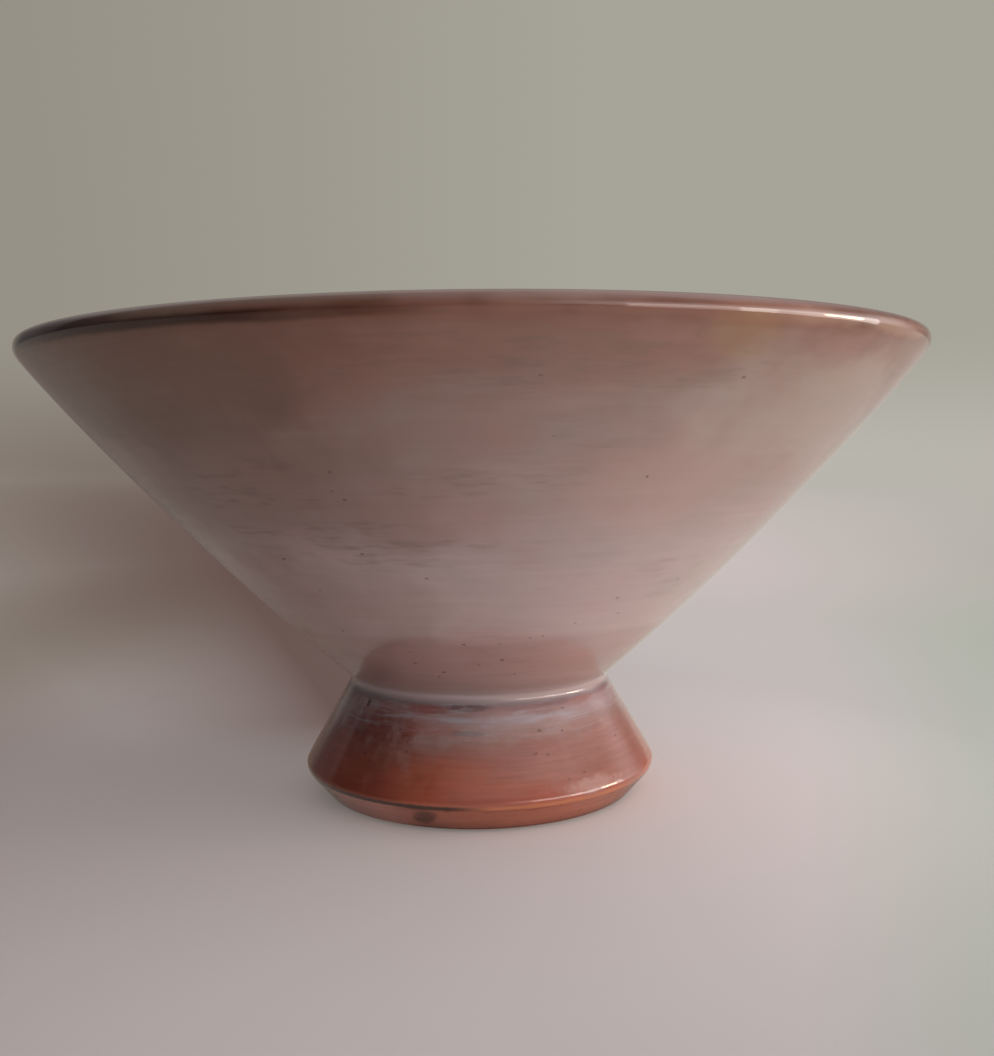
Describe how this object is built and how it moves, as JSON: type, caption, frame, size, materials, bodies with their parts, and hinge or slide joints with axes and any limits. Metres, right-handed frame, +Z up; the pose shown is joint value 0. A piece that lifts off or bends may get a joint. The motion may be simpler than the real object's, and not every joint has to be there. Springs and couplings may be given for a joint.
{
  "type": "footed pottery bowl",
  "caption": "Wide conical pottery bowl with a rounded lip on a flared hollow foot, glazed red earthenware that rests on a bare clay ring.",
  "frame": {"origin": "on the table, in the middle of the standing ring", "axes": "+Z up, along the axis the bowl was thrown on"},
  "size_m": [0.2402, 0.2402, 0.1251],
  "materials": {
    "fired_clay": "bare fired red earthenware, matt",
    "fired_slip": "bare fired slip, matt",
    "milky_glaze": "milky mauve-grey glaze, glossy, with fine brushed streaks",
    "liner_glaze": "milky mauve-grey glaze, glossy",
    "amber_glaze": "thin amber glaze over red clay, glossy"
  },
  "bodies": {
    "root": {"thrown_bowl": "fired_clay", "pedestal_foot": "fired_clay", "slip_seam": "fired_slip", "outer_luting_coil": "fired_clay", "inner_luting_coil": "fired_clay", "outer_glaze": "milky_glaze", "liner_glaze": "liner_glaze", "foot_glaze": "amber_glaze"}
  },
  "joints": []
}
